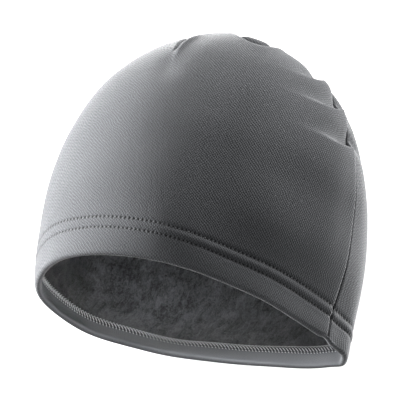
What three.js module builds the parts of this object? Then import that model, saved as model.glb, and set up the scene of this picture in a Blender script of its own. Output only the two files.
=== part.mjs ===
// A winter hat: a knitted skull cap of one thick, soft cloth with a brushed inside.
// The cloth is sewn into a tube by one seam up the back, which runs on over the crown and
// is gathered there into small tucks. The bottom edge is folded inwards and stitched down
// as a hem. The cap lies on its side, as it lies when it is put down: the far side rests
// on the floor and is a little flattened, the opening points to -Y and the crown to +Y.
// The forehead is at -X and the back seam at +X. Sizes are in millimetres and Z is up.
import * as THREE from "three";

// Main sizes
const CLOTH = 2.0;
const HEM_CLOTH = 1.7;
const LAYER_GAP = 0.3;
const HEM_LENGTH = 17;
const FLOOR_DEPTH = 72;
const FLOOR_BLEND = 2;

// The back seam, as an angle round the cap from its back end, and the groove it leaves
const SEAM_ANGLE = 25;
const SEAM_DEPTH = 1.3;
const SEAM_HALF_WIDTH = 2.2;
const CROWN_FADE_ROWS = 0.5;

// In front of the crown the seam ends in one fold that runs down the cap: a crease, and the
// roll of cloth that stands beside it, this far away
const CREASE_ANGLE = 127;
const CREASE_END_ROW = 5.3;
const CREASE_FULL_ROW = 6.2;
const CREASE_DEPTH = 2.2;
const CREASE_HALF_WIDTH = 2.6;
const ROLL_HEIGHT = 1.4;
const ROLL_OFFSET = 6;
const ROLL_HALF_WIDTH = 4.5;

// How finely the cloth is cut into faces
const COLUMNS = 56;
const COLUMNS_DRAWN_TO_SEAM = 0.55;
const HEM_SHARES = [0, 0.3, 0.65, 1];
const ROWS_BELOW = 7;
const ROWS_GATHERED = 25;
const GATHERS_START = 4.1;
const SLOPE_STEP = 0.02;

// Sections of the cap from the hem's edge (row 0) to the crown (last row). Each gives the
// middle of the section, how far the cloth stands from it to the front, back, near and far
// side, the height of those four places above the hem's edge, the roundness of the front
// and back halves (2 is an ellipse, less is more pointed), and how far the back end hangs.
const SECTIONS = [
  { midX: -31.0, midZ: 0, front: 68.0, back: 129.5, near: 65.0, far: 50.5,
    frontY: 0, backY: 0, nearY: 0, farY: -2, frontPower: 2.2, backPower: 1.5, tipDrop: 9 },
  { midX: -30.5, midZ: 0, front: 72.5, back: 129.0, near: 69.0, far: 67.0,
    frontY: 19, backY: 19, nearY: 22, farY: 19, frontPower: 2.0, backPower: 1.5, tipDrop: 8 },
  { midX: -28.0, midZ: 0, front: 77.7, back: 126.5, near: 70.0, far: 75.5,
    frontY: 50, backY: 50, nearY: 50, farY: 44, frontPower: 2.1, backPower: 1.8, tipDrop: 6 },
  { midX: -25.0, midZ: 0, front: 80.0, back: 120.5, near: 69.0, far: 77.5,
    frontY: 80, backY: 80, nearY: 80, farY: 80, frontPower: 2.1, backPower: 1.9, tipDrop: 3 },
  { midX: -21.5, midZ: 2, front: 79.0, back: 111.5, near: 65.0, far: 78.0,
    frontY: 109, backY: 108, nearY: 108, farY: 110, frontPower: 2.1, backPower: 2.0, tipDrop: 0 },
  { midX: -16.5, midZ: 5, front: 69.5, back: 94.2, near: 56.5, far: 68.0,
    frontY: 146, backY: 141, nearY: 139, farY: 140, frontPower: 2.1, backPower: 2.0, tipDrop: 0 },
  { midX: -11.5, midZ: 9, front: 52.0, back: 68.7, near: 42.4, far: 51.0,
    frontY: 172, backY: 171, nearY: 167, farY: 168, frontPower: 2.1, backPower: 2.0, tipDrop: 0 },
  { midX: -7.0, midZ: 13, front: 25.3, back: 32.0, near: 22.8, far: 28.6,
    frontY: 189.5, backY: 186, nearY: 187, farY: 188, frontPower: 2.0, backPower: 2.0, tipDrop: 0 },
  { midX: -4.0, midZ: 15, front: 0, back: 0, near: 0, far: 0,
    frontY: 195, backY: 195, nearY: 195, farY: 195, frontPower: 2.0, backPower: 2.0, tipDrop: 0 },
];
const CROWN = SECTIONS.length - 1;

// The pointed back end is rounded where the cloth turns, this far to each side (as a share
// of the section's depth)
const TIP_SHARE = 0.35;
const TIP_POWER = 2.0;

// Tucks that the gathered seam puts in the cloth. Each has the row where it meets the seam,
// how high its ridge stands, how wide it is in rows, how far it runs from the seam, and how
// many rows it dips towards the hem on the way.
const TUCKS = [
  { row: 4.72, height: 3.4, width: 0.16, run: 28, dip: 0.40 },
  { row: 5.45, height: 3.8, width: 0.16, run: 28, dip: 0.40 },
  { row: 6.15, height: 2.8, width: 0.15, run: 22, dip: 0.36 },
  { row: 6.95, height: 1.8, width: 0.17, run: 15, dip: 0.15 },
];
const DIP_REACH = 14;
const VALLEY_OFFSET = 1.25;
const VALLEY_SHARPNESS = 0.75;
const FAR_SIDE_SHARE = 0.6;

// The folded edge, which turns under the cloth and carries the turned-up layer. Each place
// has its height above the hem's edge and its inset from the outer face of the cloth.
const FOLD_INSET = CLOTH + LAYER_GAP + HEM_CLOTH;
const FOLD_HEIGHT = 3;
const FIRST_SECTION_HEIGHT = 20;
const FOLD = [
  { height: 2.0, inset: 0 },
  { height: 0.7, inset: 0.5 },
  { height: 0.0, inset: FOLD_INSET / 2 },
  { height: 0.7, inset: FOLD_INSET - 0.5 },
  { height: 2.0, inset: FOLD_INSET },
  { height: FOLD_HEIGHT, inset: FOLD_INSET },
  { height: FOLD_HEIGHT, inset: CLOTH },
];

const radians = THREE.MathUtils.degToRad;
const gauss = (value) => Math.exp(-value * value);
const rowAt = (height) => height / FIRST_SECTION_HEIGHT;

// A smooth curve through the table's rows. Beyond the crown it goes down the other side.
function section(row) {
  const low = Math.min(Math.max(Math.floor(row), 0), CROWN - 1);
  const part = row - low;
  const reaches = ["front", "back", "near", "far"];
  const read = (index, column) => {
    if (index < 0) {
      return 2 * SECTIONS[0][column] - SECTIONS[1][column];
    }
    if (index > CROWN) {
      return SECTIONS[CROWN - 1][column] * (reaches.includes(column) ? -1 : 1);
    }
    return SECTIONS[index][column];
  };
  const result = {};
  for (const column of Object.keys(SECTIONS[0])) {
    const [a, b, c, d] = [-1, 0, 1, 2].map((shift) => read(low + shift, column));
    const slope = c - a;
    const bend = 2 * a - 5 * b + 4 * c - d;
    const twist = 3 * b - a - 3 * c + d;
    result[column] = 0.5 * (2 * b + slope * part + bend * part ** 2 + twist * part ** 3);
  }
  return result;
}

// Distance along the row from a seam or crease at this angle, on either side of it
function distanceFrom(degrees, angle, row) {
  const size = section(row);
  const radius = (size.front + size.back + size.near + size.far) / 4;
  const turn = angle - radians(degrees);
  return Math.atan2(Math.sin(turn), Math.cos(turn)) * radius;
}

// How far the tucks and the crease lift the cloth off its plain shape, and how deep the
// seam cuts into it
function gathers(angle, row) {
  const fade = Math.min(1, (CROWN - row) / CROWN_FADE_ROWS);
  const side = distanceFrom(SEAM_ANGLE, angle, row);
  const distance = Math.abs(side);
  const groove = SEAM_DEPTH * fade * gauss(distance / SEAM_HALF_WIDTH);
  let lift = 0;
  for (const tuck of TUCKS) {
    const dipped = tuck.row - tuck.dip * (1 - Math.exp(-distance / DIP_REACH));
    const place = (row - dipped) / tuck.width;
    const valley = gauss((place - VALLEY_OFFSET) / VALLEY_SHARPNESS);
    const share = side > 0 ? 1 : FAR_SIDE_SHARE;
    lift += share * tuck.height * (gauss(place) - valley) * gauss(distance / tuck.run);
  }
  const along = THREE.MathUtils.smoothstep(row, CREASE_END_ROW, CREASE_FULL_ROW);
  const beside = distanceFrom(CREASE_ANGLE, angle, row);
  const crease = CREASE_DEPTH * gauss(beside / CREASE_HALF_WIDTH);
  const roll = ROLL_HEIGHT * gauss((beside + ROLL_OFFSET) / ROLL_HALF_WIDTH);
  return { lift: fade * (lift + along * (roll - crease)), groove };
}

function roundness(size, along, across) {
  const { smoothstep, lerp } = THREE.MathUtils;
  const sides = lerp(size.frontPower, size.backPower, (1 + along) / 2);
  return along > 0 ? lerp(TIP_POWER, sides, smoothstep(Math.abs(across), 0, TIP_SHARE)) : sides;
}

// The outer face of the cloth before the seam and tucks
function plainPoint(angle, row) {
  const size = section(row);
  const along = Math.cos(angle);
  const across = Math.sin(angle);
  const power = roundness(size, along, across);
  const shape = (value) => Math.sign(value) * Math.abs(value) ** (2 / power);
  const reachX = along > 0 ? size.back : size.front;
  const reachZ = across > 0 ? size.near : size.far;
  const endY = along > 0 ? size.backY : size.frontY;
  const sideY = across > 0 ? size.nearY : size.farY;
  const drop = along > 0 ? size.tipDrop * shape(along) ** 2 : 0;
  return new THREE.Vector3(
    size.midX + reachX * shape(along),
    endY * along ** 2 + sideY * across ** 2,
    size.midZ + reachZ * shape(across) - drop,
  );
}

function outward(angle, row) {
  if (row >= CROWN) {
    return new THREE.Vector3(0, 1, 0);
  }
  const left = plainPoint(angle - SLOPE_STEP, row);
  const right = plainPoint(angle + SLOPE_STEP, row);
  const below = plainPoint(angle, row - SLOPE_STEP);
  const above = plainPoint(angle, Math.min(row + SLOPE_STEP, CROWN));
  return above.sub(below).cross(right.sub(left)).normalize();
}

// Where the cloth would go below the floor, it is pressed flat on it
function onFloor(point, depth) {
  const above = point.z + depth;
  if (above < FLOOR_BLEND) {
    const pressed = above < -FLOOR_BLEND ? 0 : (above + FLOOR_BLEND) ** 2 / (4 * FLOOR_BLEND);
    point.z = pressed - depth;
  }
  return point;
}

// A point on a layer of the cloth, this far in from its outer face, which the seam cuts into
function clothPoint(angle, row, inset) {
  const { lift, groove } = gathers(angle, row);
  const height = inset === 0 ? lift - groove : lift - inset;
  const point = plainPoint(angle, row).addScaledVector(outward(angle, row), height);
  return onFloor(point, FLOOR_DEPTH - inset);
}

// Angles of the columns, closer together at the seam
function columnAngles() {
  return Array.from({ length: COLUMNS }, (_, index) => {
    const turn = (2 * Math.PI * index) / COLUMNS;
    return radians(SEAM_ANGLE) + turn - COLUMNS_DRAWN_TO_SEAM * Math.sin(turn);
  });
}

// Rows of the turned-up layer, which the wall beside it shares
function hemRows() {
  const bottom = rowAt(FOLD_HEIGHT + LAYER_GAP);
  const top = rowAt(HEM_LENGTH);
  return HEM_SHARES.map((share) => bottom + share * (top - bottom));
}

// Rows from just above the hem's edge to just below the crown
function bodyRows() {
  const spread = (from, to, count) => {
    return Array.from({ length: count }, (_, index) => from + ((to - from) * index) / count);
  };
  const above = spread(rowAt(HEM_LENGTH), GATHERS_START, ROWS_BELOW).slice(1);
  return [...hemRows(), ...above, ...spread(GATHERS_START, CROWN, ROWS_GATHERED)];
}

// A closed solid from a profile of rows and insets that is carried round the cap. It starts
// and ends at the crown, or, for a band, its last row joins its first. Its four-sided faces
// are all split along the diagonal that climbs the same way, so that two layers stay apart.
function carriedRound(profile, isBand) {
  const angles = columnAngles();
  const points = [];
  const faces = [];
  for (const { row, inset } of profile) {
    for (const angle of angles) {
      points.push(clothPoint(angle, row, inset));
    }
  }
  const last = isBand ? profile.length : profile.length - 1;
  for (let ring = 0; ring < last; ring += 1) {
    const next = (ring + 1) % profile.length;
    const rises = profile[next].row > profile[ring].row;
    for (let column = 0; column < COLUMNS; column += 1) {
      const side = (column + 1) % COLUMNS;
      const a = ring * COLUMNS + column;
      const b = ring * COLUMNS + side;
      const c = next * COLUMNS + side;
      const d = next * COLUMNS + column;
      faces.push(...(rises ? [a, b, c, a, c, d] : [a, b, d, b, c, d]));
    }
  }
  if (!isBand) {
    const ends = [0, profile.length - 1];
    ends.forEach((ring, index) => {
      const tip = points.push(clothPoint(0, CROWN, index === 0 ? 0 : CLOTH)) - 1;
      for (let column = 0; column < COLUMNS; column += 1) {
        const side = (column + 1) % COLUMNS;
        const a = ring * COLUMNS + column;
        const b = ring * COLUMNS + side;
        faces.push(...(index === 0 ? [tip, b, a] : [tip, a, b]));
      }
    });
  }
  const geometry = new THREE.BufferGeometry().setFromPoints(points);
  geometry.setIndex(faces);
  return geometry;
}

// The wall: down the outside from the crown, round the folded edge, and up the inside
function bodyProfile() {
  const up = bodyRows();
  const outside = [...up].reverse().map((row) => ({ row, inset: 0 }));
  const inside = up.map((row) => ({ row, inset: CLOTH }));
  const fold = FOLD.map(({ height, inset }) => ({ row: rowAt(height), inset }));
  return [...outside, ...fold, ...inside];
}

// The layer that is turned up inside, from the folded edge to its cut edge
function hemProfile() {
  const outside = [...hemRows()].reverse().map((row) => ({ row, inset: CLOTH + LAYER_GAP }));
  const inside = hemRows().map((row) => ({ row, inset: FOLD_INSET }));
  return [...outside, ...inside];
}

function cloth(name, geometry, colour, roughness) {
  geometry.computeVertexNormals();
  const material = new THREE.MeshStandardMaterial({ color: colour, roughness, metalness: 0 });
  material.name = `${name}_cloth`;
  const mesh = new THREE.Mesh(geometry, material);
  mesh.name = name;
  return mesh;
}

const winterHat = new THREE.Group();
winterHat.name = "winter_hat";
winterHat.add(
  cloth("cap_body", carriedRound(bodyProfile(), false), 0x6e7072, 0.95),
  cloth("hem_turn_up", carriedRound(hemProfile(), true), 0x7e8082, 0.92),
);

// The cap is set down with its lowest face on the floor and its box centred on the origin
const box = new THREE.Box3().setFromObject(winterHat);
const middle = box.getCenter(new THREE.Vector3());
for (const mesh of winterHat.children) {
  mesh.geometry.translate(-middle.x, -middle.y, -box.min.z);
}

export default winterHat;
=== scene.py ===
"""Winter hat: a knitted skull cap that lies on its side, with its stitching and a pale floor.

Every length in the tables is in millimetres. The cap is worked out upright in its own
coordinates (X to the back seam, Y from the hem up to the crown, Z to the side that faces
up) and is set down on the floor at the end, as the solids are.
"""

import math

import bpy
import numpy as np
from mathutils import Matrix, Vector


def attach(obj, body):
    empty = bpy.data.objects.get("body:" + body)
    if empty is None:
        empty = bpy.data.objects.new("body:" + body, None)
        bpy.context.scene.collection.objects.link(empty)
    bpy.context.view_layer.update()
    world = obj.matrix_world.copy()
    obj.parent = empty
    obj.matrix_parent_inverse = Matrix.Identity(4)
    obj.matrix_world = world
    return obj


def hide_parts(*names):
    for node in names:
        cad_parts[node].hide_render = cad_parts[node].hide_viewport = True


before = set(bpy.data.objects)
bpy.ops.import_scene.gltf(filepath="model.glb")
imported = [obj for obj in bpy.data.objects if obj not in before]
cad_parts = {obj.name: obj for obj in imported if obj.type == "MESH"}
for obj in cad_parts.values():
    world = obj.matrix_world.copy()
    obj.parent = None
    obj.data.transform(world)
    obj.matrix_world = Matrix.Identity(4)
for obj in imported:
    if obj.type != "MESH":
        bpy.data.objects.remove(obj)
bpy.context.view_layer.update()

bl_info = {
    "name": "Winter Hat",
    "version": (1, 0, 0),
    "blender": (4, 5, 0),
    "location": "3D View > Sidebar > Winter Hat",
    "description": "Makes a knitted winter cap with a gathered crown seam and a stitched hem",
    "category": "Object",
}

MM = 0.001
TAU = 2.0 * math.pi

# The sections of the cap, from the hem's edge to the crown: the middle of the section, how
# far the cloth stands from it to the front, back, near and far side, the height of those
# four places, the roundness of the front and back halves and the drop of the back end.
SECTION_COLUMNS = (
    "mid_x", "mid_z", "front", "back", "near", "far",
    "front_y", "back_y", "near_y", "far_y", "front_power", "back_power", "tip_drop",
)
SECTIONS = np.array(
    [
        (-31.0, 0, 68.0, 129.5, 65.0, 50.5, 0, 0, 0, -2, 2.2, 1.5, 9),
        (-30.5, 0, 72.5, 129.0, 69.0, 67.0, 19, 19, 22, 19, 2.0, 1.5, 8),
        (-28.0, 0, 77.7, 126.5, 70.0, 75.5, 50, 50, 50, 44, 2.1, 1.8, 6),
        (-25.0, 0, 80.0, 120.5, 69.0, 77.5, 80, 80, 80, 80, 2.1, 1.9, 3),
        (-21.5, 2, 79.0, 111.5, 65.0, 78.0, 109, 108, 108, 110, 2.1, 2.0, 0),
        (-16.5, 5, 69.5, 94.2, 56.5, 68.0, 146, 141, 139, 140, 2.1, 2.0, 0),
        (-11.5, 9, 52.0, 68.7, 42.4, 51.0, 172, 171, 167, 168, 2.1, 2.0, 0),
        (-7.0, 13, 25.3, 32.0, 22.8, 28.6, 189.5, 186, 187, 188, 2.0, 2.0, 0),
        (-4.0, 15, 0, 0, 0, 0, 195, 195, 195, 195, 2.0, 2.0, 0),
    ]
)
CROWN = len(SECTIONS) - 1
# Millimetres from one row to the next over the hem
ROW_HEIGHT = 20.0
# Round the tip of the back end: the sine of the angle within which it is rounder, its power
TIP_SHARE, TIP_POWER = 0.35, 2.0
# The middle of the solids' box at the floor, in the cap's own coordinates
MIDDLE = (-3.481, 97.046, -72.0)
# The floor's depth below the cap's axis, and how far above it the run-in starts
FLOOR_DEPTH, FLOOR_BLEND = 72.0, 2.0

# The seam runs up the back at one angle. From these rows on, in front of these places, it
# crosses the crown in a nearly upright plane, bends down at the front and ends in a fold.
SEAM_ANGLE = math.radians(25.0)
SEAM_TURN_ROWS, SEAM_TURN_X, SEAM_END_X = (5.4, 6.0), (25.0, 45.0), (-50.0, -45.0)
# Over the crown: the seam's z, the share by which it drifts, and how much longer the slanting
# cloth is than its z. Then where the drift and the bend start, and how rounded each corner is.
SEAM_Z, SEAM_DRIFT, SEAM_SLANT = 28.0, 0.07, 1.15
DRIFT_X, DRIFT_CORNER, BEND_X, BEND_CORNER = 45.0, 8.0, -36.0, 3.0
# The groove's half width, and the step between the seam's edges: height, middle, width, reach
SEAM_GROOVE = 0.9
STEP_HEIGHT, STEP_MIDDLE, STEP_WIDTH, STEP_REACH = 0.8, 0.5, 0.8, 8.0
# The fold at the seam's end: its middle, half length and the z over which it comes in, and
# the height, middle and half width of its waves across the seam
FOLD_X, FOLD_REACH, FOLD_Z = -42.0, 7.0, (15.0, 25.0)
FOLD_WAVES = ((1.2, 4.5, 3.5), (-2.4, -3.0, 4.0), (-4.2, 0.0, 1.6))
# A dimple below the fold: its middle, its half width and its depth
DIMPLE, DIMPLE_REACH, DIMPLE_DEPTH = (-50.0, 142.0, 54.5), (7.0, 12.0, 12.0), 1.3

# Tucks along the gathered seam: the row where each crease meets the seam, its height, its
# width in rows, how far it runs from the seam, how many rows it dips on the way, how far
# the seam draws the cloth in, and the height of the puff that stands beyond the seam.
TUCKS = (
    # row, height, width, run, dip, dent, puff
    (4.77, 3.4, 0.17, 24.0, 0.26, 0.6, 0.9),
    (5.58, 3.6, 0.16, 24.0, 0.32, 0.4, 0.5),
    (6.31, 2.8, 0.15, 20.0, 0.44, 0.2, 0.3),
)
# How far from the seam the dip, the dent and the puff reach, and how sharp the seam parts them
DIP_REACH, DENT_REACH, PUFF_REACH, PARTING = 14.0, 8.0, 14.0, 0.6
# In a tuck's heights and widths: the crease's depth and reach above it, the width of the
# step below it, and the height and reach of the cloth that falls off below the step
CREASE_DEPTH, CREASE_REACH, CREASE_STEP = 1.15, 1.6, 0.9
CREST_HEIGHT, CREST_REACH = 0.5, 2.4
# Half widths of the dent and the puff above and below the crease
DENT_WIDTHS, PUFF_WIDTHS = (0.8, 2.3), (0.6, 3.4)
# How far the seam pinches the cloth beyond it, the middle of the pinch and its half width
PINCH, PINCH_MIDDLE, PINCH_WIDTH = 1.9, 0.6, 0.9
# The tuck in front of the crown: its row, how it climbs to both sides of its middle, its
# middle, half length, height and width in rows, and the z and width of its far end
CROWN_TUCK_ROW, CROWN_TUCK_CLIMB, CROWN_TUCK_X = 6.5, 0.0020, 1.0
CROWN_TUCK_REACH, CROWN_TUCK_HEIGHT, CROWN_TUCK_WIDTH = 19.0, 3.4, 0.17
CROWN_TUCK_Z, CROWN_TUCK_END = 24.0, 3.0
# Its ridge's share of its height and half widths above and below, its hollow's middle
RIDGE_SHARE, RIDGE_WIDTHS, HOLLOW_MIDDLE = 0.3, (0.65, 2.0), 1.4

# Height of the lower stitch row above the hem's edge, by the angle round the cap in degrees,
# and the degrees over which it is averaged
STITCH_ROW_ANGLES = (-25, 5, 27, 45, 58, 70, 86, 98, 110, 122, 136, 148, 160, 180, 205, 270, 335)
STITCH_ROW_HEIGHTS = (
    14.5, 15.8, 16.4, 15.8, 15.0, 14.5, 14.9, 15.4, 16.3,
    17.4, 18.2, 19.0, 19.4, 18.6, 16.5, 14.0, 14.5,
)
STITCH_ROW_BLEND, STITCH_ROW_SPREAD = 12.0, 5.6
# Height, middle and half width of the waves across the hem: from the lower stitch row, both
# rows' channels and the roll between them, and from the hem's edge, its swell
ROW_WAVES = (
    (-0.8, 0.0, 1.1), (-0.7, STITCH_ROW_SPREAD, 1.1), (0.45, STITCH_ROW_SPREAD / 2, 1.9),
)
EDGE_WAVES = ((0.3, 7.0, 5.0),)
# Where the hem is stretched, in radians from the seam, and the share of the waves this takes
STRETCH_STARTS, STRETCH_ENDS, STRETCH_SHARE = (0.5, 1.3), (3.0, 4.0), 0.6
# The share of the hem's relief that shows inside, and how far (in rows) the seam draws the
# hem's edge up, with its reach along the edge (mm) and up from it (rows)
INSIDE_SHARE, DRAWN_UP, DRAWN_REACH, DRAWN_ROWS = 0.3, 0.08, 3.0, 0.4
# Air between the hem's two layers
HEM_AIR = 0.3

# Random fields of soft cloth and of the pile: wavelengths (mm), count of waves and seed
UNEVEN_WAVES, TUFT_WAVES = ((35.0, 90.0), 14, 3), ((3.0, 9.0), 50, 11)
UNEVEN_HEIGHT = 0.35
# The tufts' stretch across and up, the mean and spread of their height, and the rows over
# which they fade at the crown
TUFT_STRETCH, TUFT_MEAN, TUFT_SPREAD, TUFT_FADE = (0.55, 1.4), 0.25, 0.22, 0.3

COLUMNS = 306
# Where the columns are closer: an angle in degrees, the half width there, the added density
CLOSER_COLUMNS = ((25.0, 7.0, 3.0), (55.0, 25.0, 0.8), (127.0, 14.0, 1.2))
# Rows of the grid: the hem's rounded edge and its fine rows end at these heights (mm), and
# the coarse rows of the sides at these rows, outside and inside
EDGE_TOP, HEM_TOP, SIDE_TOP, INSIDE_TOP = 2.0, 30.0, 4.0, 4.1
# The rows of each stretch of the profile, its ends included
STRETCHES = {
    "hem": 36, "side": 22, "crown": 150, "edge": 9, "layer": 14,
    "inner_hem": 10, "inner_side": 42, "inner_crown": 30,
}
# The knit runs straight up the middle of each panel. They meet in front, at PANEL_CHANGE.
PANEL_MIDDLES, PANEL_CHANGE = (95.0, 290.0), 200.0

# The knit's waves: turns across and up in each pitch, and the share of the wave
RIB_WAVES = ((-0.68, 0.73, 0.60), (0.88, 0.62, 0.45), (1.15, 0.0, 0.30))
RIB_BEND = 2.4
# Half widths in the material (mm): a needle hole and its painted shade along and across its row,
# and the seam's painted shadow
HOLE_LENGTH, HOLE_WIDTH, SEAM_SHADE = 0.7, 0.6, 0.8
# How far below the hem's cut edge the cloth is darker with painted shade, beneath the cover
# stitch (mm)
SHADED_BELOW_EDGE = (6.4, 5.2)
# The shares of the fold's depth between which the cloth counts as turned under, where it is
# painted paler as painted light
TURNED_UNDER = (0.55, 0.9)
# A distance that keeps a mark off the inside
FAR_AWAY = 99.0

# A hem stitch: half its length in stitches, its bow, and how deep its ends lie (mm)
STITCH_HALF, STITCH_BOW, STITCH_SUNK = 0.30, 0.20, 0.16
# Tiers of the cover stitch, measured from the hem's cut edge
COVER_TIERS = (
    # phase in stitches, height of the upper and lower end (mm), lean in stitches
    (0.35, 0.9, -1.3, -0.75),
    (0.0, -1.1, -4.7, 1.25),
    (0.62, -5.5, -6.1, 0.35),
)
# Its strokes (mm): the depth at which they are counted, their bow, how deep their ends lie
# and their radius, and the height and depth of their step over the cut edge
COVER_MIDDLE, COVER_BOW, COVER_SUNK, COVER_RADIUS = 3.0, 0.40, 0.12, 0.30
OVER_EDGE, OVER_EDGE_DEPTH = 0.8, 0.9
# A thread's points and sides, how slim its ends are (the square of a share of its radius),
# and a direction that no thread runs in
THREAD_POINTS, THREAD_SIDES, THREAD_END, THREAD_SIDE = 7, 6, 0.02, (0.31, 0.87, 0.38)

# The camera looks at this point of the cap (mm, the cap's own coordinates) from 30 degrees
# below its rim, which with the cap on its side is 60 degrees above the floor.
AIM = (-12.2, 89.15, -7.54)
BELOW_RIM, LEAN = math.radians(30.0), math.radians(13.0)
# The width of the view at that point (mm), and the camera's sensor (mm) and reach (m)
VIEW_WIDTH, SENSOR_WIDTH, CLIP_END = 250.8, 36.0, 50.0

FLOOR_LINES = 9
WORLD_STRENGTH = 0.32
ALL_ROUND = 180.0
PANELS = (
    # name, place (m), aimed at (m), size (m), power (W), spread (degrees)
    ("front_panel", (-0.95, -0.02, 0.10), (-0.05, 0.0, 0.07), (0.35, 0.30), 80.0, ALL_ROUND),
    ("front_high_panel", (-0.85, -0.02, 0.50), (-0.05, 0.0, 0.07), (0.4, 0.30), 7.0, ALL_ROUND),
    ("seam_panel", (0.20, 0.03, 0.012), (0.09, 0.03, 0.08), (0.30, 0.02), 0.8, ALL_ROUND),
    ("back_high_panel", (0.65, 0.60, 0.28), (0.03, 0.0, 0.08), (0.5, 0.25), 6.0, ALL_ROUND),
    ("crown_panel", (0.35, 1.00, 0.20), (0.0, 0.05, 0.09), (0.9, 0.35), 42.0, ALL_ROUND),
)
# The beam into the opening: where it is aimed, from the camera's aim, its distance and size
# (m), its power (W) and spread (degrees)
BEAM_AIM, BEAM_DISTANCE, BEAM_SIZE = (0.0, -0.085, -0.03), 0.55, (0.17, 0.05)
BEAM_POWER, BEAM_SPREAD = 0.045, 14.0


def linear(colour):
    """The linear RGB of an sRGB hex colour such as '#808080'."""
    values = [int(colour[i : i + 2], 16) / 255.0 for i in (1, 3, 5)]
    return tuple(v / 12.92 if v <= 0.04045 else ((v + 0.055) / 1.055) ** 2.4 for v in values)


# Sizes and colours that a user would change


class HatCloth(bpy.types.PropertyGroup):
    """Sizes and colours of the cloth."""

    thickness: bpy.props.FloatProperty(
        name="Cloth",
        description="Thickness of the double-faced knit",
        default=2.0 * MM,
        unit="LENGTH",
    )
    hem_cloth: bpy.props.FloatProperty(
        name="Hem layer",
        description="Thickness of the turned-up layer",
        default=1.7 * MM,
        unit="LENGTH",
    )
    hem_length: bpy.props.FloatProperty(
        name="Hem",
        description="Height of the turned-up layer",
        default=17.0 * MM,
        unit="LENGTH",
    )
    seam_depth: bpy.props.FloatProperty(
        name="Seam",
        description="Depth of the groove along the seam",
        default=1.7 * MM,
        unit="LENGTH",
    )
    knit_pitch: bpy.props.FloatProperty(
        name="Knit",
        description="Spacing of the knit's slanting ribs",
        default=1.45 * MM,
        unit="LENGTH",
    )
    pile_height: bpy.props.FloatProperty(
        name="Pile",
        description="Height of the tufts of the brushed face",
        default=0.9 * MM,
        unit="LENGTH",
    )
    face_colour: bpy.props.FloatVectorProperty(
        name="Face",
        description="Colour of the smooth face",
        subtype="COLOR",
        default=linear("#3b3c3e"),
    )
    pile_colour: bpy.props.FloatVectorProperty(
        name="Fleece",
        description="Colour of the brushed face",
        subtype="COLOR",
        default=linear("#3e3f41"),
    )


class HatThread(bpy.types.PropertyGroup):
    """Sizes and colours of the sewing."""

    stitch_pitch: bpy.props.FloatProperty(
        name="Stitch",
        description="Length of a hem stitch",
        default=2.7 * MM,
        unit="LENGTH",
    )
    thread_width: bpy.props.FloatProperty(
        name="Thread",
        description="Thickness of the sewing thread",
        default=0.42 * MM,
        unit="LENGTH",
    )
    stroke_pitch: bpy.props.FloatProperty(
        name="Stroke",
        description="Spacing of the cover stitch inside",
        default=2.2 * MM,
        unit="LENGTH",
    )
    face_thread: bpy.props.FloatVectorProperty(
        name="Outside",
        description="Colour of the needle threads",
        subtype="COLOR",
        default=linear("#3a3b3d"),
    )
    inside_thread: bpy.props.FloatVectorProperty(
        name="Inside",
        description="Colour of the cover stitch",
        subtype="COLOR",
        default=linear("#b8babc"),
    )


class HatStage(bpy.types.PropertyGroup):
    """The floor and the camera."""

    floor_colour: bpy.props.FloatVectorProperty(
        name="Floor",
        description="Colour of the floor",
        subtype="COLOR",
        default=linear("#f6f6f6"),
    )
    floor_size: bpy.props.FloatProperty(
        name="Floor size",
        description="Length of a side of the floor",
        default=8.0,
        unit="LENGTH",
    )
    lens: bpy.props.FloatProperty(
        name="Lens",
        description="Focal length of the camera",
        default=400.0,
        unit="CAMERA",
    )


# Curves


def bell(value):
    """A bell curve: e to the power of minus the value's square."""
    return np.exp(-value * value)


def uneven_bell(value, above, below):
    """A bell curve with one half width above 0 and another below it."""
    return bell(value / np.where(value > 0, above, below))


def bells(value, curves):
    """The sum of bell curves, each with its height, middle and half width."""
    return sum(height * bell((value - middle) / width) for height, middle, width in curves)


def ease_in(value, low, high):
    """Rises smoothly from 0 at low to 1 at high: 3 t squared minus 2 t cubed."""
    t = np.clip((value - low) / (high - low), 0, 1)
    return t * t * (3 - 2 * t)


def side_switch(value, width):
    """Goes smoothly from 0 below to 1 above: 1 / (1 + e^(-value / width))."""
    return 1 / (1 + np.exp(-value / width))


def ramp(value, width):
    """Nought below and the value above, round the corner between them: width times the log
    of 1 + e^(value / width)."""
    return width * np.logaddexp(0, value / width)


# The shape of the cloth


def section(row):
    """The sizes of the section at each row: a smooth curve through the table (each stretch
    is the cubic whose slopes at its ends are half the difference of the neighbours), which
    beyond the crown goes down the other side."""
    beyond = SECTIONS[-2].copy()
    beyond[2:6] *= -1
    table = np.vstack([2 * SECTIONS[0] - SECTIONS[1], SECTIONS, beyond])
    low = np.clip(np.floor(row).astype(int), 0, CROWN - 1)
    part = (row - low)[..., None]
    a, b, c, d = (table[low + shift] for shift in range(4))
    square, cube = 2 * a - 5 * b + 4 * c - d, 3 * b - a - 3 * c + d
    values = 0.5 * (2 * b + (c - a) * part + square * part**2 + cube * part**3)
    return dict(zip(SECTION_COLUMNS, np.moveaxis(values, -1, 0)))


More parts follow.
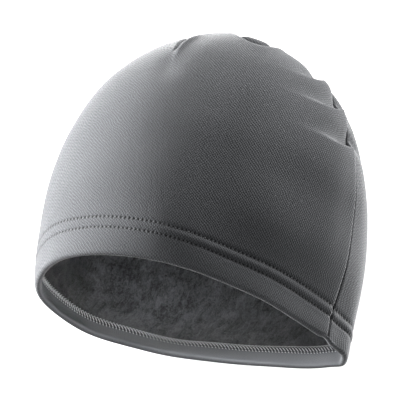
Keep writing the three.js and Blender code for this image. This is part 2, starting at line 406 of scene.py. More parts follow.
def plain_point(angle, row):
    """The outer face before seam and tucks: x is the middle plus the front or back reach
    times cos(angle) raised to 2 over the power, z the near or far reach times sin(angle)
    raised the same way, and y blends the heights by the squares of cosine and sine."""
    size = section(row)
    along, across = np.cos(angle), np.sin(angle)
    sides = size["front_power"] + (size["back_power"] - size["front_power"]) * (1 + along) / 2
    ease = ease_in(np.abs(across), 0, TIP_SHARE)
    power = np.where(along > 0, TIP_POWER + (sides - TIP_POWER) * ease, sides)
    shaped_x = np.sign(along) * np.abs(along) ** (2 / power)
    shaped_z = np.sign(across) * np.abs(across) ** (2 / power)
    x = size["mid_x"] + np.where(along > 0, size["back"], size["front"]) * shaped_x
    end_y = np.where(along > 0, size["back_y"], size["front_y"])
    side_y = np.where(across > 0, size["near_y"], size["far_y"])
    y = end_y * along**2 + side_y * across**2
    drop = np.where(along > 0, size["tip_drop"] * shaped_x**2, 0)
    z = size["mid_z"] + np.where(across > 0, size["near"], size["far"]) * shaped_z - drop
    return np.stack([x, y, z], -1)


def outward(angle, row):
    """The unit normal of the plain outer face, from differences along and across it."""
    step = 0.01
    round_way = plain_point(angle + step, row) - plain_point(angle - step, row)
    up_way = plain_point(angle, np.minimum(row + step, CROWN)) - plain_point(angle, row - step)
    normal = np.cross(up_way, round_way)
    length = np.linalg.norm(normal, axis=-1, keepdims=True)
    flat = (row >= CROWN - 1e-9)[..., None]
    return np.where(flat, (0.0, 1.0, 0.0), normal / np.maximum(length, 1e-12))


def seam_side(angle, row):
    """The signed distance from the seam in millimetres, positive on the side that faces up,
    how far the seam is there (1, down to 0 past its end), and the plain distance up the back,
    which is the angle from the seam times the mean radius. Over the crown the signed distance
    is z less the seam's own z, which drifts with x and bends at the front."""
    size = section(row)
    radius = (size["front"] + size["back"] + size["near"] + size["far"]) / 4
    behind = np.arctan2(np.sin(angle - SEAM_ANGLE), np.cos(angle - SEAM_ANGLE)) * radius
    x, _, z = np.moveaxis(plain_point(angle, row), -1, 0)
    seam_z = SEAM_Z + SEAM_DRIFT * ramp(DRIFT_X - x, DRIFT_CORNER) + ramp(BEND_X - x, BEND_CORNER)
    share = 1 - (1 - ease_in(row, *SEAM_TURN_ROWS)) * ease_in(x, *SEAM_TURN_X)
    side = behind * (1 - share) + SEAM_SLANT * (z - seam_z) * share
    return side, ease_in(x, *SEAM_END_X), np.abs(behind)


def crease_wave(place):
    """A tuck along the seam: the cloth above it sinks into a crease at 0 (a bell curve), comes
    up quickly below it (a smooth step), and falls off slowly from there (a bell curve)."""
    step = (CREST_HEIGHT + CREASE_DEPTH) * ease_in(-place, 0.0, CREASE_STEP) - CREASE_DEPTH
    crest = CREST_HEIGHT * bell((place + CREASE_STEP) / CREST_REACH)
    below = np.where(place < -CREASE_STEP, crest, step)
    return np.where(place > 0, -CREASE_DEPTH * bell(place / CREASE_REACH), below)


def crown_tuck(x, z, row):
    """The tuck in front of the crown, along a parabola over x: a ridge that falls off slowly
    below and quickly above, less the hollow over it, faded at both ends (bell curves) and
    towards the far side (a smooth step)."""
    path = CROWN_TUCK_ROW + CROWN_TUCK_CLIMB * (x - CROWN_TUCK_X) ** 2
    place = (row - path) / CROWN_TUCK_WIDTH
    wave = RIDGE_SHARE * uneven_bell(place, *RIDGE_WIDTHS) - bell(place - HOLLOW_MIDDLE)
    ends = bell((x - CROWN_TUCK_X) / CROWN_TUCK_REACH)
    return CROWN_TUCK_HEIGHT * ends * side_switch(z - CROWN_TUCK_Z, CROWN_TUCK_END) * wave


def gathers_lift(angle, row):
    """What the gathers add to the plain face: the tucks, which dip away from the seam, fade
    as a bell curve with the distance from it, and are drawn in by it; the puffs of cloth
    beyond the seam with a pinch above each; the tuck in front of the crown; and the waves of
    the fold at the seam's end with the dimple below it."""
    side, there, distance = seam_side(angle, row)
    near = side_switch(side, PARTING)
    lift = np.zeros_like(row)
    for crease_row, height, width, run, dip, dent, puff in TUCKS:
        place = (row - crease_row + dip * (1 - np.exp(-distance / DIP_REACH))) / width
        drawn = dent * uneven_bell(place, *DENT_WIDTHS) * bell(distance / DENT_REACH)
        lift += near * (height * crease_wave(place) * bell(distance / run) - drawn)
        pinch = PINCH * bell((place - PINCH_MIDDLE) / PINCH_WIDTH)
        beyond = puff * uneven_bell(place, *PUFF_WIDTHS) - pinch
        lift += (1 - near) * beyond * bell(distance / PUFF_REACH)
    plain = plain_point(angle, row)
    x, _, z = np.moveaxis(plain, -1, 0)
    fold = bell((x - FOLD_X) / FOLD_REACH) * ease_in(z, *FOLD_Z) * there
    lift += crown_tuck(x, z, row) + fold * bells(side, FOLD_WAVES)
    return lift - DIMPLE_DEPTH * bell(np.linalg.norm((plain - DIMPLE) / DIMPLE_REACH, axis=-1))


def seam_relief(angle, row, depth):
    """The groove where the two edges meet (a bell curve), with the near edge a little proud
    of the far one (a smooth step that fades away from the seam)."""
    side, there, _ = seam_side(angle, row)
    step = STEP_HEIGHT * np.tanh((side - STEP_MIDDLE) / STEP_WIDTH) * bell(side / STEP_REACH)
    return there * (step - depth * bell(side / SEAM_GROOVE))


def waves(points, lengths, count, seed):
    """A smooth random field of unit spread: the sum of sine waves in random directions, with
    wavelengths (mm) between the two given, divided by the root of half their number."""
    random = np.random.default_rng(seed)
    direction = random.normal(size=(count, points.shape[-1]))
    direction /= np.linalg.norm(direction, axis=1, keepdims=True)
    wavelength = np.exp(random.uniform(np.log(lengths[0]), np.log(lengths[1]), count))
    phase = random.uniform(0, TAU, count)
    turns = points @ (direction * (TAU / wavelength)[:, None]).T + phase
    return np.sin(turns).sum(-1) / math.sqrt(count / 2)


def on_floor(points, depth):
    """Presses what would be below the floor flat on it, with a short quadratic run-in."""
    above = points[..., 2] + depth
    pressed = np.where(above < -FLOOR_BLEND, 0.0, (above + FLOOR_BLEND) ** 2 / (4 * FLOOR_BLEND))
    points[..., 2] = np.where(above < FLOOR_BLEND, pressed, above) - depth
    return points


def stitch_row_height(angle):
    """The lower stitch row's height above the hem's edge: straight lines between the table's
    angles, rounded by averaging over a few degrees."""
    offsets = np.radians(np.linspace(-STITCH_ROW_BLEND / 2, STITCH_ROW_BLEND / 2, 7))
    first = STITCH_ROW_ANGLES[0]
    turned = np.degrees(np.mod(angle[..., None] + offsets - math.radians(first), TAU)) + first
    return np.interp(turned, STITCH_ROW_ANGLES, STITCH_ROW_HEIGHTS).mean(-1)


def hem_relief(angle, height):
    """The channels that the two stitch rows draw in, the soft roll between them, and the
    swell of the folded edge: bell curves across the hem, weaker where the hem is stretched
    at the front."""
    turned = np.mod(angle - SEAM_ANGLE, TAU)
    stretched = ease_in(turned, *STRETCH_STARTS) * (1 - ease_in(turned, *STRETCH_ENDS))
    rows = bells(height - stitch_row_height(angle), ROW_WAVES)
    return rows * (1 - STRETCH_SHARE * stretched) + bells(height, EDGE_WAVES)


def cloth_point(angle, row, inset, cloth):
    """A point on the cloth, this far in from its outer face: the plain point moved along its
    normal by the tucks, seam, hem and the slight unevenness of soft cloth, and pressed on the
    floor. At the seam the hem's edge is drawn up a little."""
    from_seam = seam_side(angle, row)[2]
    row = row + DRAWN_UP * bell(from_seam / DRAWN_REACH) * bell(row / DRAWN_ROWS)
    plain = plain_point(angle, row)
    uneven = UNEVEN_HEIGHT * waves(plain, *UNEVEN_WAVES) * np.clip(CROWN - row, 0, 1)
    hem = hem_relief(angle, row * ROW_HEIGHT)
    outer = seam_relief(angle, row, cloth.seam_depth / MM) + hem
    relief = np.where(inset <= 0, outer, INSIDE_SHARE * hem)
    lift = gathers_lift(angle, row) + uneven + relief
    points = plain + outward(angle, row) * (lift - inset)[..., None]
    return on_floor(points, FLOOR_DEPTH - inset)


def column_angles(count):
    """Angles round the cap from the seam, closer together at the seam, along the tucks and
    at the fold in front: equal steps of the running total of a sum of bell curves."""
    turn = np.linspace(0, TAU, 7201)
    density = np.ones_like(turn)
    for degrees, width, weight in CLOSER_COLUMNS:
        away = turn + SEAM_ANGLE - math.radians(degrees)
        density += weight * bell(np.degrees(np.arctan2(np.sin(away), np.cos(away))) / width)
    running = np.concatenate([[0], np.cumsum((density[1:] + density[:-1]) / 2)])
    return SEAM_ANGLE + np.interp(np.arange(count) / count, running / running[-1], turn)


def fold_inset(cloth):
    """How far the turned-up layer's face lies below the outer face: two layers and the air."""
    return (cloth.thickness + cloth.hem_cloth) / MM + HEM_AIR


def cloth_grid(cloth):
    """The profile of the folded cloth as rows and insets, from the crown down the outside,
    round the hem's edge (half an ellipse), up the turned layer, over its cut edge and up the
    brushed inside, with the number of profile rows of the smooth face."""
    thickness, hem, fold = cloth.thickness / MM, cloth.hem_length / MM, fold_inset(cloth)
    hem_rows = np.linspace(EDGE_TOP, HEM_TOP, STRETCHES["hem"]) / ROW_HEIGHT
    side_rows = np.linspace(hem_rows[-1], SIDE_TOP, STRETCHES["side"])[1:]
    crown_rows = np.linspace(SIDE_TOP, CROWN, STRETCHES["crown"])[1:-1]
    outside = np.concatenate([hem_rows, side_rows, crown_rows])[::-1]
    turn = np.linspace(0, math.pi, STRETCHES["edge"])[1:-1]
    edge_rows = EDGE_TOP * (1 - np.sin(turn)) / ROW_HEIGHT
    edge_insets = fold / 2 * (1 - np.cos(turn))
    layer = np.linspace(EDGE_TOP, hem - 0.4, STRETCHES["layer"]) / ROW_HEIGHT
    # The rounded cut edge, down to the fleece below it
    cut_rows = np.array([hem, hem + 0.1, hem - 1.2]) / ROW_HEIGHT
    cut_insets = np.array([fold - 0.5, thickness + 0.7, thickness + 0.15])
    band = hem + 8.0
    inside = np.concatenate([
        np.linspace(hem - 0.6, band, STRETCHES["inner_hem"]) / ROW_HEIGHT,
        np.linspace(band / ROW_HEIGHT, INSIDE_TOP, STRETCHES["inner_side"])[1:],
        np.linspace(INSIDE_TOP, CROWN, STRETCHES["inner_crown"])[1:-1],
    ])
    rows = np.concatenate([outside, edge_rows, layer, cut_rows, inside])
    insets = np.concatenate([
        np.zeros(len(outside)), edge_insets, np.full(len(layer), fold), cut_insets,
        np.full(len(inside), thickness),
    ])
    return rows, insets, len(rows) - len(inside)


def place_on_floor(points):
    """From the cap's own millimetres to metres on the floor."""
    return (np.asarray(points) - MIDDLE) * MM


def lengths_along(points, axis):
    """Running length along one axis of a grid of points, in the points' unit."""
    steps = np.linalg.norm(np.diff(points, axis=axis), axis=-1)
    start = np.zeros_like(np.take(steps, [0], axis=axis))
    return np.concatenate([start, np.cumsum(steps, axis=axis)], axis=axis)


def stitches_round(cloth, height, inset, pitch):
    """Where stitches of about this pitch lie round the cap: a function from a count of
    stitches to the angle, and their number."""
    samples = 2400
    angle = SEAM_ANGLE + TAU * np.arange(samples + 1) / samples
    row = height(angle) / ROW_HEIGHT
    points = cloth_point(angle, row, np.full_like(row, inset), cloth)
    length = lengths_along(points, 0)
    count = round(length[-1] / pitch)
    stitch_at = length / length[-1] * count
    return lambda stitch: np.interp(np.mod(stitch, count), stitch_at, angle), count


# Meshes


def mesh_object(name, points, faces, materials, uv=None, slots=None, floats=None, smooth=True):
    """A mesh object from arrays: points, a list of face arrays of three or more corners, the
    materials, the corners' UV, the faces' material slots and the points' named values."""
    mesh = bpy.data.meshes.new(name)
    sizes = np.concatenate([np.full(len(block), block.shape[1]) for block in faces])
    corners = np.concatenate([block.reshape(-1) for block in faces])
    mesh.vertices.add(len(points))
    mesh.vertices.foreach_set("co", np.asarray(points, np.float32).reshape(-1))
    mesh.loops.add(len(corners))
    mesh.loops.foreach_set("vertex_index", corners.astype(np.int32))
    starts = np.concatenate([[0], np.cumsum(sizes)[:-1]])
    mesh.polygons.add(len(sizes))
    mesh.polygons.foreach_set("loop_start", starts.astype(np.int32))
    mesh.polygons.foreach_set("loop_total", sizes.astype(np.int32))
    if uv is not None:
        layer = mesh.uv_layers.new(name="cloth")
        layer.data.foreach_set("uv", np.asarray(uv, np.float32).reshape(-1))
    for key, values in (floats or {}).items():
        layer = mesh.attributes.new(key, "FLOAT", "POINT")
        layer.data.foreach_set("value", np.asarray(values, np.float32).reshape(-1))
    for material in materials:
        mesh.materials.append(material)
    if slots is not None:
        mesh.polygons.foreach_set("material_index", np.asarray(slots, np.int32))
    mesh.polygons.foreach_set("use_smooth", np.full(len(sizes), smooth))
    mesh.update(calc_edges=True)
    mesh.validate()
    piece = bpy.data.objects.new(name, mesh)
    bpy.context.collection.objects.link(piece)
    return piece


def carried_round(rings, columns):
    """Corner indices of the faces between neighbouring rings, as two arrays: the vertices,
    and the places in a grid with one more column, where the pattern starts again."""
    ring = np.arange(rings - 1)[:, None]
    column = np.arange(columns)[None, :]
    side = (column + 1) % columns
    a, b = ring * columns + column, ring * columns + side
    c, d = (ring + 1) * columns + side, (ring + 1) * columns + column
    vertices = np.stack(np.broadcast_arrays(a, b, c, d), -1).reshape(-1, 4)
    wide = columns + 1
    ua, ub = ring * wide + column, ring * wide + column + 1
    places = np.stack([ua, ub, ub + wide, ua + wide], -1).reshape(-1, 4)
    return vertices, places


def tubes(paths, radius):
    """Threads along many short paths: for each point a ring of corners at the radius round
    the path, square to it, drawn in at both ends (a root of one minus a fourth power)."""
    count, steps, _ = paths.shape
    sides = THREAD_SIDES
    way = np.gradient(paths, axis=1)
    way /= np.linalg.norm(way, axis=-1, keepdims=True)
    first = np.cross(way, np.broadcast_to(THREAD_SIDE, way.shape))
    first /= np.linalg.norm(first, axis=-1, keepdims=True)
    second = np.cross(way, first)
    turn = TAU * np.arange(sides) / sides
    slimmer = np.linspace(-1, 1, steps) ** 4
    size = radius * np.sqrt(np.clip(1 + THREAD_END - slimmer, THREAD_END, 1))
    cosine, sine = np.cos(turn)[:, None], np.sin(turn)[:, None]
    ring = first[..., None, :] * cosine + second[..., None, :] * sine
    points = paths[:, :, None, :] + ring * size[None, :, None, None]
    step, side = np.arange(steps - 1)[:, None], np.arange(sides)[None, :]
    after = (side + 1) % sides
    a, b = step * sides + side, step * sides + after
    quads = np.stack(np.broadcast_arrays(a, b, b + sides, a + sides), -1).reshape(-1, 4)
    starts = np.arange(count) * steps * sides
    walls = (quads[None] + starts[:, None, None]).reshape(-1, 4)
    first_end = np.arange(sides)[::-1][None] + starts[:, None]
    last_end = (steps - 1) * sides + np.arange(sides)[None] + starts[:, None]
    return points.reshape(-1, 3), [walls, first_end, last_end]


# Materials. A noise's scale is in cells per metre: 90 makes cells of 11 mm, 900 of 1.1 mm.

MULTIPLY_ADD, RGBA = {"operation": "MULTIPLY_ADD"}, {"data_type": "RGBA"}
# The Mix node's places for its share, its two colours and the mixed colour
SHARE, FROM, TO, MIXED = 0, 6, 7, 2


def connect(material, node, inputs):
    """Sets or links inputs of a node, by name or place: each is a plain value, a node whose
    first output it takes, or a pair of a node and an output."""
    for key, value in inputs.items():
        paired = isinstance(value, tuple) and isinstance(value[0], bpy.types.Node)
        source, output = value if paired else (value, 0)
        if isinstance(source, bpy.types.Node):
            material.node_tree.links.new(source.outputs[output], node.inputs[key])
        else:
            node.inputs[key].default_value = value


def add(material, kind, settings=None, inputs=None):
    """Adds a node with its settings and its inputs."""
    node = material.node_tree.nodes.new("ShaderNode" + kind)
    for key, value in (settings or {}).items():
        setattr(node, key, value)
    connect(material, node, inputs or {})
    return node


def new_material(name):
    """A material with nodes, and its shader."""
    material = bpy.data.materials.new(name)
    material.use_nodes = True
    return material, material.node_tree.nodes["Principled BSDF"]


def times(colour, *factors):
    """The colour, opaque, times each factor, with no channel above 1."""
    return [(*(min(1.0, factor * channel) for channel in colour), 1.0) for factor in factors]


def knit_ribs(material, pitch):
    """The cloth's own coordinates, and the relief of a fine knit whose loops line up in
    slanting ribs: a sine wave across the ribs, a weaker one that leans the other way and
    breaks them into loops, and a still weaker one across the upright columns of loops, all
    bent a little."""
    uv = add(material, "UVMap", {"uv_map": "cloth"})
    noise = add(material, "TexNoise", {}, {"Vector": uv, "Scale": 90.0, "Detail": 3.0})
    bend = {0: (noise, 1), 1: (RIB_BEND * pitch,) * 3, 2: uv}
    bent = add(material, "VectorMath", MULTIPLY_ADD, bend)
    total = 0.0
    for across, upward, share in RIB_WAVES:
        way = (across * TAU / pitch, upward * TAU / pitch, 0.0)
        phase = add(material, "VectorMath", {"operation": "DOT_PRODUCT"}, {0: bent, 1: way})
        wave = add(material, "Math", {"operation": "SINE"}, {0: (phase, "Value")})
        total = add(material, "Math", MULTIPLY_ADD, {0: wave, 1: share, 2: total})
    return uv, total


def bell_mask(material, value, width):
    """A bell curve of a node's output: e to the power of minus 1 / width squared, raised to
    the power of the value's square."""
    square = add(material, "Math", {"operation": "MULTIPLY"}, {0: value, 1: value})
    return add(material, "Math", {"operation": "POWER"}, {0: math.exp(-1 / width**2), 1: square})


def needle_holes(material, thread):
    """Where the needle has pierced the hem: a bell curve along the row, halfway between two
    stitches, times one across each of the two rows."""
    stitch = add(material, "Attribute", {"attribute_name": "stitch_phase"})
    turned = add(material, "Math", {"operation": "FRACT"}, {0: (stitch, "Fac")})
    pitch = thread.stitch_pitch / MM
    away = add(material, "Math", MULTIPLY_ADD, {0: turned, 1: pitch, 2: -pitch / 2})
    along = bell_mask(material, away, HOLE_LENGTH)
    rows = []
    for name in ("off_lower_row", "off_upper_row"):
        away = add(material, "Attribute", {"attribute_name": name})
        rows.append(bell_mask(material, (away, "Fac"), HOLE_WIDTH))
    both = add(material, "Math", {"operation": "ADD"}, {0: rows[0], 1: rows[1]})
    return add(material, "Math", {"operation": "MULTIPLY"}, {0: along, 1: both})


def double_faced_jersey(cloth, thread):
    """The smooth outer face of the knit: matt spun polyester, with the fine slanting ribs of
    its loops, a heather of lighter and darker fibres, a soft sheen of loose fibres at grazing
    angles, painted shade in its needle holes along the hem and a painted shadow in the seam.
    Inside, where it is turned up, it is painted paler as painted light, and darker again
    with painted shade beneath the cover stitch. The ribs are coarser than real ones, at the
    spacing that the photograph shows."""
    made, shader = new_material("double_faced_jersey_knit")
    # The last two are painted shade: for the needle holes and for the seam's groove.
    dark, light, hole_shade, groove = times(cloth.face_colour, 0.42, 1.6, 0.05, 0.4)
    # The first two make the turned-up inside paler, as painted light; the last is painted shade
    # beneath the cover stitch.
    painted_lit_dark, painted_lit_light, shaded = times(cloth.face_colour, 2.4, 4.2, 1.1)
    uv, ribs = knit_ribs(made, cloth.knit_pitch)
    fibres = {"Vector": uv, "Scale": 900.0, "Detail": 3.0, "Roughness": 0.7}
    heather = add(made, "TexNoise", {}, fibres)
    share = add(made, "Math", MULTIPLY_ADD, {0: heather, 1: 1.2, 2: -0.1})
    share = add(made, "Math", MULTIPLY_ADD, {0: ribs, 1: 0.45, 2: share})
    colour = add(made, "Mix", RGBA, {SHARE: share, FROM: dark, TO: light})
    holes = needle_holes(made, thread)
    # Painted shade in the needle holes
    colour = add(made, "Mix", RGBA, {SHARE: holes, FROM: (colour, MIXED), TO: hole_shade})
    # Painted shadow along the seam's groove
    off_seam = add(made, "Attribute", {"attribute_name": "off_seam"})
    seam = bell_mask(made, (off_seam, "Fac"), SEAM_SHADE)
    colour = add(made, "Mix", RGBA, {SHARE: seam, FROM: (colour, MIXED), TO: groove})
    # The turned-up inside, painted paler as painted light
    share = add(made, "Math", MULTIPLY_ADD, {0: heather, 1: 0.7, 2: 0.15})
    inner = add(made, "Mix", RGBA, {SHARE: share, FROM: painted_lit_dark, TO: painted_lit_light})
    # Painted shade beneath the cover stitch
    beneath = add(made, "Attribute", {"attribute_name": "beneath_stitch"})
    ends = {SHARE: (beneath, "Fac"), FROM: (inner, MIXED), TO: shaded}
    inner = add(made, "Mix", RGBA, ends)
    under = add(made, "Attribute", {"attribute_name": "turned_under"})
    ends = {SHARE: (under, "Fac"), FROM: (colour, MIXED), TO: (inner, MIXED)}
    colour = add(made, "Mix", RGBA, ends)
    relief = 0.0
    for source, raised in ((heather, 0.6), (ribs, 0.7), (holes, -4.0)):
        relief = add(made, "Math", MULTIPLY_ADD, {0: source, 1: raised, 2: relief})
    bump = add(made, "Bump", {}, {"Strength": 0.6, "Distance": 0.22 * MM, "Height": relief})
    sheen = {"Sheen Weight": 0.25, "Sheen Roughness": 0.3}
    plain = {"Roughness": 0.95, "Specular IOR Level": 0.15, **sheen}
    connect(made, shader, {"Base Color": (colour, MIXED), "Normal": bump, **plain})
    return made


def brushed_fleece(cloth):
    """The brushed inner face: raised fibres in short upright tufts, matt, mottled in streaks
    a few millimetres wide, with paler patches where the pile is crushed."""
    made, shader = new_material("brushed_polyester_fleece")
    uv = add(made, "UVMap", {"uv_map": "cloth"})
    upright = add(made, "Mapping", {}, {"Vector": uv, "Scale": (1.0, 0.45, 1.0)})
    patches = {"Vector": uv, "Scale": 70.0, "Detail": 3.0, "Distortion": 0.6}
    tufts = {"Vector": upright, "Scale": 330.0, "Detail": 4.0, "Roughness": 0.65}
    tufts["Distortion"] = 1.0
    hairs = {"Vector": upright, "Scale": 1500.0, "Detail": 3.0, "Roughness": 0.75}
    share, relief = 0.5, 0.0
    for noise, amount, raised in ((patches, 1.5, 0.0), (tufts, 2.2, 1.0), (hairs, 2.2, 0.6)):
        field = add(made, "TexNoise", {}, noise)
        centred = add(made, "Math", {"operation": "SUBTRACT"}, {0: field, 1: 0.5})
        share = add(made, "Math", MULTIPLY_ADD, {0: centred, 1: amount, 2: share})
        relief = add(made, "Math", MULTIPLY_ADD, {0: centred, 1: raised, 2: relief})
    dark, light = times(cloth.pile_colour, 0.42, 2.2)
    colour = add(made, "Mix", RGBA, {SHARE: share, FROM: dark, TO: light})
    bump = add(made, "Bump", {}, {"Strength": 0.9, "Distance": 1.0 * MM, "Height": relief})
    sheen = {"Sheen Weight": 0.15, "Sheen Roughness": 0.5}
    plain = {"Roughness": 1.0, "Specular IOR Level": 0.1, **sheen}
    connect(made, shader, {"Base Color": (colour, MIXED), "Normal": bump, **plain})
    return made


def spun_thread(name, colour):
    """Sewing thread of spun polyester: slightly glossy, its twist a fine unevenness."""
    made, shader = new_material(name)
    place = add(made, "TexCoord")
    turns = {"Vector": (place, "Object"), "Scale": 2600.0, "Detail": 2.0}
    twist = add(made, "TexNoise", {}, turns)
    dark, light = times(colour, 0.6, 1.35)
    shades = add(made, "Mix", RGBA, {SHARE: twist, FROM: dark, TO: light})
    bump = add(made, "Bump", {}, {"Strength": 0.4, "Distance": 0.08 * MM, "Height": twist})
    plain = {"Roughness": 0.6, "Specular IOR Level": 0.4, "Sheen Weight": 0.1}
    connect(made, shader, {"Base Color": (shades, MIXED), "Normal": bump, **plain})
    return made


def matt_paper(colour):
    """Seamless backdrop paper: matt, with a faint fibre grain."""
    made, shader = new_material("matt_backdrop_paper")
    place = add(made, "TexCoord")
    fibres = {"Vector": (place, "Object"), "Scale": 350.0, "Detail": 2.0}
    grain = add(made, "TexNoise", {}, fibres)
    dark, light = times(colour, 0.985, 1.0)
    shades = add(made, "Mix", RGBA, {SHARE: grain, FROM: dark, TO: light})
    bump = add(made, "Bump", {}, {"Strength": 0.05, "Distance": 0.1 * MM, "Height": grain})
    plain = {"Roughness": 0.9, "Specular IOR Level": 0.1}
    connect(made, shader, {"Base Color": (shades, MIXED), "Normal": bump, **plain})
    return made


# Operators


class HAT_OT_sewn_cloth(bpy.types.Operator):
    """Makes the cap's cloth: the knit wall, its folded hem and the brushed inside."""

    bl_idname = "hat.sewn_cloth"
    bl_label = "Sewn cloth"

    def execute(self, context):
        cloth, thread = context.scene.hat_cloth, context.scene.hat_thread
        rows, insets, smooth_rows = cloth_grid(cloth)
        angle, row = np.meshgrid(column_angles(COLUMNS), rows)
        inset = np.broadcast_to(insets[:, None], row.shape).copy()
        points = cloth_point(angle, row, inset, cloth)
        uv = self.flat_places(points, angle, rows[:smooth_rows])
        brushed = (np.arange(len(rows)) >= smooth_rows)[:, None]
        points = points - outward(angle, row) * self.pile(uv[0], row, brushed, cloth)[..., None]
        # The middle of the crown (mid_x, front_y and mid_z), outside and inside
        tips = np.array([SECTIONS[-1][[0, 6, 1]]] * 2)
        tips[1, 1] -= cloth.thickness / MM
        flat = place_on_floor(np.concatenate([points.reshape(-1, 3), tips]))

        # The grid's faces, and a ring of triangles round the crown's middle on each side
        rings, column = len(rows), np.arange(COLUMNS)
        quads, places = carried_round(rings, COLUMNS)
        side, last = (column + 1) % COLUMNS, (rings - 1) * COLUMNS
        top = np.stack([np.full(COLUMNS, rings * COLUMNS), side, column], -1)
        inner = np.stack([np.full(COLUMNS, rings * COLUMNS + 1), last + column, last + side], -1)
        top_uv = np.stack([column, column + 1, column], -1)
        inner_uv = np.stack([column, column, column + 1], -1) + (rings - 1) * (COLUMNS + 1)
        far_panel = (angle[0] > math.radians(PANEL_CHANGE)) * rings * (COLUMNS + 1)
        places = places + np.tile(far_panel, rings - 1)[:, None]
        top_uv, inner_uv = top_uv + far_panel[:, None], inner_uv + far_panel[:, None]
        corners = np.concatenate([part.reshape(-1) for part in (places, top_uv, inner_uv)])
        slots = np.repeat(np.arange(rings - 1) >= smooth_rows - 1, COLUMNS)
        slots = np.concatenate([slots, np.zeros(COLUMNS), np.ones(COLUMNS)])
        piece = mesh_object(
            "cap_cloth", flat, [quads, top, inner],
            (double_faced_jersey(cloth, thread), brushed_fleece(cloth)),
            uv.reshape(-1, 2)[corners] * MM, slots,
            self.sewing_places(angle, row, inset, cloth, thread),
        )
        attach(piece, "root")
        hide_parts("cap_body", "hem_turn_up")
        return {"FINISHED"}

    def flat_places(self, points, angle, smooth):
        """Where each point lies in the cloth laid flat (mm): the length along its row from the
        middle of the near and of the far panel, and the length up from the hem's edge."""
        wide = np.concatenate([points, points[:, :1]], axis=1)
        u = lengths_along(wide, 1)
        v = lengths_along(wide, 0)
        edge = np.abs(smooth).argmin()
        up = v[edge : edge + 1] - v
        middles = [np.abs(angle[0] - math.radians(degrees)).argmin() for degrees in PANEL_MIDDLES]
        return np.stack([np.stack([u - u[:, [middle]], up], -1) for middle in middles])

    def pile(self, uv, row, brushed, cloth):
        """The height of the tufts of the brushed face: a random field of short waves."""
        tufts = TUFT_MEAN + TUFT_SPREAD * waves((uv / TUFT_STRETCH)[:, :-1], *TUFT_WAVES)
        fade = np.clip((CROWN - row) / TUFT_FADE, 0, 1)
        return brushed * fade * cloth.pile_height / MM * tufts

    def sewing_places(self, angle, row, inset, cloth, thread):
        """For the material: the count of stitches from the seam, the distances (mm) from both
        stitch rows and from the seam, all far away on the inside, and the shares by which
        the cloth is turned under, where it is painted paler as painted light, and is darkened
        with painted shade beneath the cover stitch."""
        pitch = thread.stitch_pitch / MM
        at_stitch, count = stitches_round(cloth, stitch_row_height, 0.0, pitch)
        # Just short of the whole count, so that the last one doesn't start again at the seam
        stitches = np.arange(count + 1) * (1 - 1e-9)
        turned = np.mod(angle - SEAM_ANGLE, TAU) + SEAM_ANGLE
        outside, height = inset <= 0, row * ROW_HEIGHT
        lower = np.where(outside, height - stitch_row_height(angle), FAR_AWAY)
        side, there, _ = seam_side(angle, row)
        under, top = fold_inset(cloth), cloth.hem_length / MM
        fields = {
            "stitch_phase": np.interp(turned, at_stitch(stitches), stitches),
            "off_lower_row": lower,
            "off_upper_row": np.where(outside, lower - STITCH_ROW_SPREAD, FAR_AWAY),
            "off_seam": np.where(outside & (there > 0.3), side, FAR_AWAY),
            "turned_under": ease_in(inset, *(share * under for share in TURNED_UNDER)),
            "beneath_stitch": ease_in(height, *(top - below for below in SHADED_BELOW_EDGE)),
        }
        # Both tips get 0
        return {key: np.append(values.reshape(-1), (0.0, 0.0)) for key, values in fields.items()}


class HAT_OT_hem_stitches(bpy.types.Operator):
    """Sews the two rows of needle thread that show on the outside of the hem."""

    bl_idname = "hat.hem_stitches"
    bl_label = "Hem stitches"

    def execute(self, context):
        cloth, thread = context.scene.hat_cloth, context.scene.hat_thread
        material = spun_thread("spun_polyester_needle_thread", thread.face_thread)
        pitch = thread.stitch_pitch / MM
        at_stitch, count = stitches_round(cloth, stitch_row_height, 0.0, pitch)
        # A stitch bows between two holes, which lie half a stitch to each side of it
        share = np.linspace(-STITCH_HALF, STITCH_HALF, THREAD_POINTS)
        angle = at_stitch(np.arange(count)[:, None] + share)
        lift = (STITCH_BOW * (1 - (share / STITCH_HALF) ** 4) - STITCH_SUNK)[:, None]
        stitch_rows = ("hem_stitches_lower", 0.0), ("hem_stitches_upper", STITCH_ROW_SPREAD)
        for name, offset in stitch_rows:
            row = (stitch_row_height(angle) + offset) / ROW_HEIGHT
            path = cloth_point(angle, row, np.zeros_like(row), cloth)
            path += outward(angle, row) * lift
            points, faces = tubes(place_on_floor(path), thread.thread_width / 2)
            piece = mesh_object(name, points, faces, (material,))
            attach(piece, "root")
        return {"FINISHED"}


class HAT_OT_cover_stitch(bpy.types.Operator):
    """Sews the cover stitch over the hem's cut edge on the inside: short strokes over the
    edge, long slanting ones below them, and small loops at the bottom."""

    bl_idname = "hat.cover_stitch"
    bl_label = "Cover stitch"

    def execute(self, context):
        cloth, thread = context.scene.hat_cloth, context.scene.hat_thread
        inset, top = fold_inset(cloth), cloth.hem_length / MM

        def counted(angle):
            return np.full_like(angle, top - COVER_MIDDLE)

        at_stitch, count = stitches_round(cloth, counted, inset, thread.stroke_pitch / MM)
        share = np.linspace(0, 1, THREAD_POINTS)
        lift = (COVER_BOW * (1 - (2 * share - 1) ** 6) - COVER_SUNK)[:, None]
        paths = []
        for phase, upper, lower, lean in COVER_TIERS:
            angle = at_stitch(np.arange(count)[:, None] + phase + (share - 0.5) * lean)
            height = top + upper + (lower - upper) * share + np.zeros_like(angle)
            beyond = np.clip((height - top + OVER_EDGE / 2) / OVER_EDGE, 0, 1)
            row = height / ROW_HEIGHT
            path = cloth_point(angle, row, inset - OVER_EDGE_DEPTH * beyond, cloth)
            paths.append(path - outward(angle, row) * lift)
        points, faces = tubes(place_on_floor(np.concatenate(paths)), COVER_RADIUS * MM)
        material = spun_thread("textured_polyester_looper_thread", thread.inside_thread)
        piece = mesh_object("hem_cover_stitch", points, faces, (material,))
        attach(piece, "root")
        return {"FINISHED"}


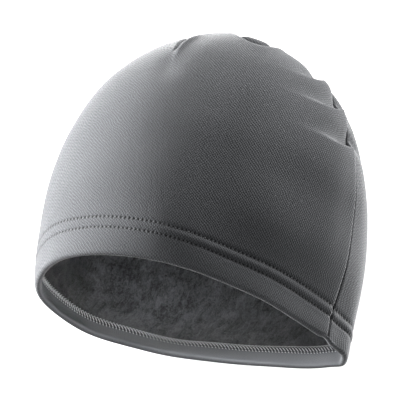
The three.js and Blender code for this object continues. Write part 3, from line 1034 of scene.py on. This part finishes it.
class HAT_OT_stage(bpy.types.Operator):
    """Lays the floor and sets the lights and the camera at the photograph's angle."""

    bl_idname = "hat.stage"
    bl_label = "Stage"

    def execute(self, context):
        stage = context.scene.hat_stage
        line = np.linspace(-stage.floor_size / 2, stage.floor_size / 2, FLOOR_LINES)
        u, v = np.meshgrid(line, line)
        points = np.stack([u, v, np.zeros_like(u)], -1).reshape(-1, 3)
        index = np.arange(u.size).reshape(u.shape)
        quads = np.stack([index[:-1, :-1], index[:-1, 1:], index[1:, 1:], index[1:, :-1]], -1)
        paper = matt_paper(stage.floor_colour)
        floor = mesh_object("floor", points, [quads.reshape(-1, 4)], (paper,), smooth=False)
        world = bpy.data.worlds.new("soft_studio")
        world.use_nodes = True
        world.node_tree.nodes["Background"].inputs["Color"].default_value = (1.0,) * 4
        world.node_tree.nodes["Background"].inputs["Strength"].default_value = WORLD_STRENGTH
        context.scene.world = world
        right, up, back, aim = self.view()
        self.light_panels(back, aim)
        data = bpy.data.cameras.new("photo_camera")
        data.lens, data.sensor_width, data.clip_end = stage.lens, SENSOR_WIDTH, CLIP_END
        camera = bpy.data.objects.new("photo_camera", data)
        distance = stage.lens / data.sensor_width * VIEW_WIDTH * MM
        turned = Matrix((right, up, back)).transposed().to_4x4()
        camera.matrix_world = Matrix.Translation(aim + back * distance) @ turned
        bpy.context.collection.objects.link(camera)
        context.scene.camera = camera
        return {"FINISHED"}

    def view(self):
        """The directions of the picture's right, up and back (towards the camera), which is
        rolled by the cap's lean, and the point it is aimed at."""
        back = Vector((0.0, -math.sin(BELOW_RIM), math.cos(BELOW_RIM)))
        side = Vector((1.0, 0.0, 0.0))
        top = back.cross(side)
        right = side * math.cos(LEAN) + top * math.sin(LEAN)
        up = top * math.cos(LEAN) - side * math.sin(LEAN)
        return right, up, back, Vector(place_on_floor(AIM))

    def light_panels(self, back, aim):
        """Soft panels: two on the forehead's side, a small one just above the floor beside
        the seam, one behind, one on the crown's side, and a narrow beam from the camera's
        side that reaches into the opening."""
        mouth = aim + Vector(BEAM_AIM)
        place = mouth + back * BEAM_DISTANCE
        beam = ("opening_beam", place, mouth, BEAM_SIZE, BEAM_POWER, BEAM_SPREAD)
        for name, place, target, size, power, spread in (*PANELS, beam):
            data = bpy.data.lights.new(name, "AREA")
            data.shape, data.energy, data.spread = "RECTANGLE", power, math.radians(spread)
            data.size, data.size_y = size
            lamp = bpy.data.objects.new(name, data)
            lamp.location = place
            away = Vector(place) - Vector(target)
            lamp.rotation_euler = away.to_track_quat("Z", "Y").to_euler()
            bpy.context.collection.objects.link(lamp)


class HAT_PT_sidebar(bpy.types.Panel):
    """Lists the steps that make the hat, and its sizes and colours."""

    bl_label = "Winter Hat"
    bl_idname = "HAT_PT_sidebar"
    bl_space_type = "VIEW_3D"
    bl_region_type = "UI"
    bl_category = "Winter Hat"

    def draw(self, context):
        for operator in STEPS:
            self.layout.operator(operator.bl_idname)
        for group in (context.scene.hat_cloth, context.scene.hat_thread, context.scene.hat_stage):
            box = self.layout.box()
            for key in type(group).__annotations__:
                box.prop(group, key)


STEPS = (HAT_OT_sewn_cloth, HAT_OT_hem_stitches, HAT_OT_cover_stitch, HAT_OT_stage)
GROUPS = (HatCloth, HatThread, HatStage)


def register():
    """Registers the classes, and gives the scene its three groups of properties."""
    for item in (*GROUPS, *STEPS, HAT_PT_sidebar):
        bpy.utils.register_class(item)
    bpy.types.Scene.hat_cloth = bpy.props.PointerProperty(type=HatCloth)
    bpy.types.Scene.hat_thread = bpy.props.PointerProperty(type=HatThread)
    bpy.types.Scene.hat_stage = bpy.props.PointerProperty(type=HatStage)


def unregister():
    """Takes the groups and the classes away again."""
    del bpy.types.Scene.hat_stage, bpy.types.Scene.hat_thread, bpy.types.Scene.hat_cloth
    for item in reversed((*GROUPS, *STEPS, HAT_PT_sidebar)):
        bpy.utils.unregister_class(item)


def make_hat():
    """Runs the steps in order."""
    register()
    bpy.context.scene.view_settings.view_transform = "Standard"
    bpy.ops.hat.sewn_cloth()
    bpy.ops.hat.hem_stitches()
    bpy.ops.hat.cover_stitch()
    bpy.ops.hat.stage()


if __name__ == "__main__":
    make_hat()
